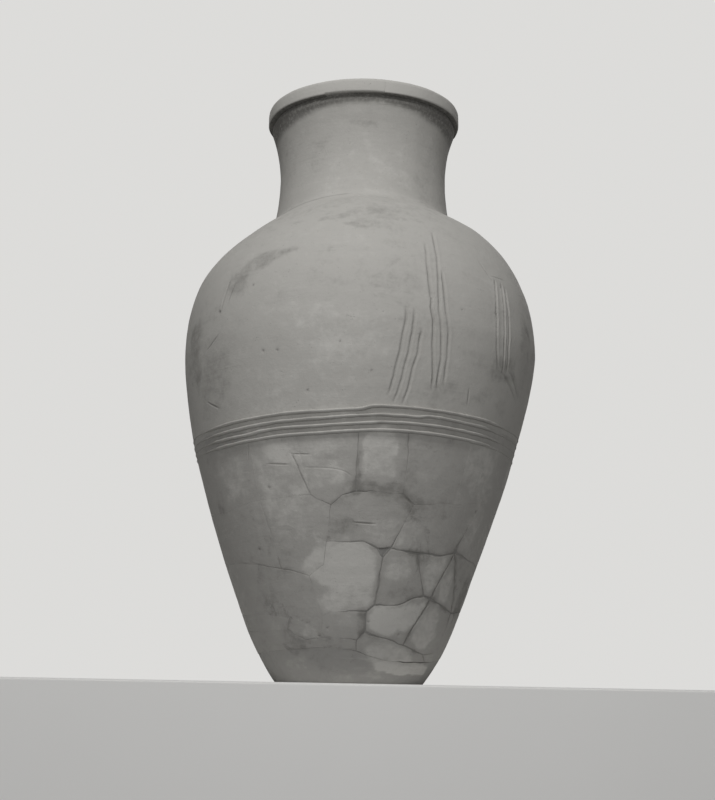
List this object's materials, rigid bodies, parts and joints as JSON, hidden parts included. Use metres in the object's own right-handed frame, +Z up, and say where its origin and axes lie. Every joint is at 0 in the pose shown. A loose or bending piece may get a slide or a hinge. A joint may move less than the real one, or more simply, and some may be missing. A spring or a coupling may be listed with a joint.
{
  "type": "pithos storage jar",
  "caption": "Tall clay storage jar with narrow foot, wide belly, ribbed band, combed grooves and collared neck, mended from sherds.",
  "frame": {"origin": "centre of the foot's flat underside", "axes": "+Z up along the jar's axis, -Y towards the side the picture shows"},
  "size_m": [0.7159, 0.716, 1.2],
  "materials": {
    "lower_clay": "matte",
    "upper_clay": "matte",
    "rib_clay": "matte",
    "plaster": "matte"
  },
  "bodies": {
    "root": {"foot": "plaster", "base_sherd_1": "lower_clay", "base_sherd_2": "lower_clay", "base_sherd_3": "lower_clay", "base_sherd_4": "lower_clay", "base_sherd_5": "lower_clay", "base_sherd_6": "lower_clay", "lower_sherd_1": "lower_clay", "lower_sherd_2": "lower_clay", "lower_sherd_3": "lower_clay", "lower_sherd_4": "lower_clay", "lower_sherd_5": "lower_clay", "lower_sherd_6": "lower_clay", "lower_sherd_7": "lower_clay", "lower_sherd_8": "lower_clay", "lower_sherd_9": "lower_clay", "middle_sherd_1": "lower_clay", "middle_sherd_2": "lower_clay", "middle_sherd_3": "lower_clay", "middle_sherd_4": "lower_clay", "middle_sherd_5": "lower_clay", "middle_sherd_6": "lower_clay", "middle_sherd_7": "lower_clay", "middle_sherd_8": "lower_clay", "middle_sherd_9": "lower_clay", "upper_sherd_1": "lower_clay", "upper_sherd_2": "lower_clay", "upper_sherd_3": "lower_clay", "upper_sherd_4": "lower_clay", "upper_sherd_5": "lower_clay", "upper_sherd_6": "lower_clay", "upper_sherd_7": "lower_clay", "band_sherd_1": "lower_clay", "band_sherd_2": "lower_clay", "band_sherd_3": "lower_clay", "band_sherd_4": "lower_clay", "band_sherd_5": "lower_clay", "band_sherd_6": "lower_clay", "band_sherd_7": "lower_clay", "band_sherd_8": "lower_clay", "belly_sherd_1": "upper_clay", "belly_sherd_2": "upper_clay", "belly_sherd_3": "upper_clay", "belly_sherd_4": "upper_clay", "shoulder_sherd_1": "upper_clay", "shoulder_sherd_2": "upper_clay", "shoulder_sherd_3": "upper_clay", "shoulder_sherd_4": "upper_clay", "neck_sherd_1": "upper_clay", "neck_sherd_2": "upper_clay", "neck_sherd_3": "upper_clay", "rim_segment_1": "upper_clay", "rim_segment_2": "upper_clay", "rim_segment_3": "upper_clay", "rim_segment_4": "upper_clay", "plaster_fill": "plaster", "rib_1": "rib_clay", "rib_2": "rib_clay", "rib_3": "rib_clay", "rib_4": "rib_clay"}
  },
  "joints": []
}
